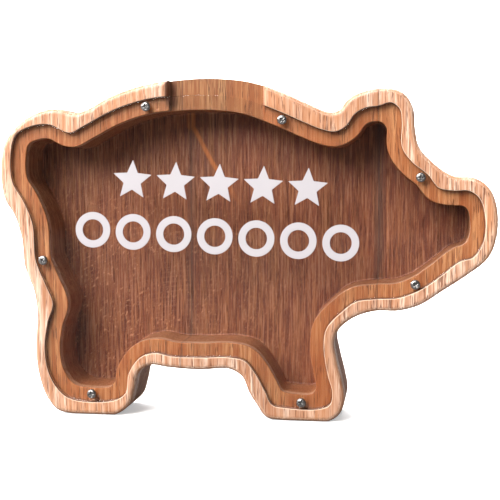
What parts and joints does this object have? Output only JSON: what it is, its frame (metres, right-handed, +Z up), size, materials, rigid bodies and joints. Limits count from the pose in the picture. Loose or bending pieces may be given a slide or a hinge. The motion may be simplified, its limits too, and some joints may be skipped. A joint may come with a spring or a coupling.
{
  "type": "wooden money box",
  "caption": "Pig-shaped wooden money box: a thick routed blank with a deep pocket, a coin notch in the top of the back and a clear front panel held on by pan-head screws.",
  "frame": {"origin": "on the ground under the middle of the box's bounding box", "axes": "+X towards the snout, +Z up, the clear front faces -Y and the plain back faces +Y"},
  "size_m": [0.29, 0.0414, 0.1984],
  "materials": {
    "wood": "light golden-brown open-pored wood with an upright grain, thin satin lacquer",
    "clear_acrylic": "clear polished acrylic sheet",
    "screw_steel": "bright zinc-plated steel",
    "white_vinyl": "white self-adhesive vinyl, satin"
  },
  "bodies": {
    "body": {"rear_board": "wood", "middle_board": "wood", "front_board": "wood"},
    "panel": {"front_panel": "clear_acrylic", "star_1": "white_vinyl", "star_2": "white_vinyl", "star_3": "white_vinyl", "star_4": "white_vinyl", "star_5": "white_vinyl", "coin_ring_1": "white_vinyl", "coin_ring_2": "white_vinyl", "coin_ring_3": "white_vinyl", "coin_ring_4": "white_vinyl", "coin_ring_5": "white_vinyl", "coin_ring_6": "white_vinyl", "coin_ring_7": "white_vinyl"},
    "top_rear_screw": {"screw_top_rear": "screw_steel"},
    "top_front_screw": {"screw_top_front": "screw_steel"},
    "brow_screw": {"screw_brow": "screw_steel"},
    "jaw_screw": {"screw_jaw": "screw_steel"},
    "front_foot_screw": {"screw_front_foot": "screw_steel"},
    "rear_foot_screw": {"screw_rear_foot": "screw_steel"},
    "rump_screw": {"screw_rump": "screw_steel"}
  },
  "joints": [
    {"name": "panel_lift_off", "type": "slide", "parent": "body", "child": "panel", "axis": [0, -1, 0], "range_m": [0, 0.04]},
    {"name": "top_rear_unscrew", "type": "slide", "parent": "body", "child": "top_rear_screw", "axis": [0, -1, 0], "range_m": [0, 0.064]},
    {"name": "top_front_unscrew", "type": "slide", "parent": "body", "child": "top_front_screw", "axis": [0, -1, 0], "range_m": [0, 0.064]},
    {"name": "brow_unscrew", "type": "slide", "parent": "body", "child": "brow_screw", "axis": [0, -1, 0], "range_m": [0, 0.064]},
    {"name": "jaw_unscrew", "type": "slide", "parent": "body", "child": "jaw_screw", "axis": [0, -1, 0], "range_m": [0, 0.064]},
    {"name": "front_foot_unscrew", "type": "slide", "parent": "body", "child": "front_foot_screw", "axis": [0, -1, 0], "range_m": [0, 0.064]},
    {"name": "rear_foot_unscrew", "type": "slide", "parent": "body", "child": "rear_foot_screw", "axis": [0, -1, 0], "range_m": [0, 0.064]},
    {"name": "rump_unscrew", "type": "slide", "parent": "body", "child": "rump_screw", "axis": [0, -1, 0], "range_m": [0, 0.064]}
  ],
  "couplings": [
    {"joint": "top_rear_unscrew", "follows": "panel_lift_off", "ratio": 1.6},
    {"joint": "top_front_unscrew", "follows": "panel_lift_off", "ratio": 1.6},
    {"joint": "brow_unscrew", "follows": "panel_lift_off", "ratio": 1.6},
    {"joint": "jaw_unscrew", "follows": "panel_lift_off", "ratio": 1.6},
    {"joint": "front_foot_unscrew", "follows": "panel_lift_off", "ratio": 1.6},
    {"joint": "rear_foot_unscrew", "follows": "panel_lift_off", "ratio": 1.6},
    {"joint": "rump_unscrew", "follows": "panel_lift_off", "ratio": 1.6}
  ]
}
